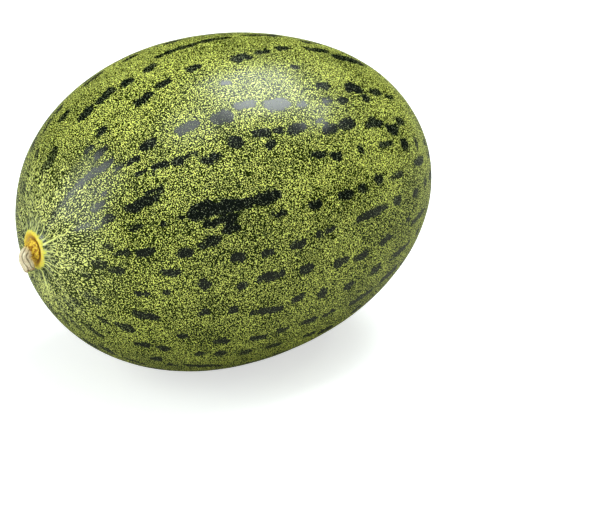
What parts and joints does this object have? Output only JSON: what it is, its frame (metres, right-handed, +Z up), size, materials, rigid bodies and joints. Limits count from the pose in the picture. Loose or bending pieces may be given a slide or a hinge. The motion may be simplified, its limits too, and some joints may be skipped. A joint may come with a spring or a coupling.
{
  "type": "piel de sapo melon",
  "caption": "Whole oval green melon with a dark-blotched, finely mottled rind, a yellow collar and a short dried stalk, lying on its side.",
  "frame": {"origin": "middle of the small flat resting spot on the belly, at the widest ring", "axes": "+X along the fruit's long axis from the stem end to the blossom end, +Z up as it lies"},
  "size_m": [0.2503, 0.1784, 0.1774],
  "materials": {
    "rind": "waxy melon rind, satin",
    "dried_stem": "dry and rough"
  },
  "bodies": {
    "root": {"fruit": "rind", "stem_stub": "dried_stem"}
  },
  "joints": []
}
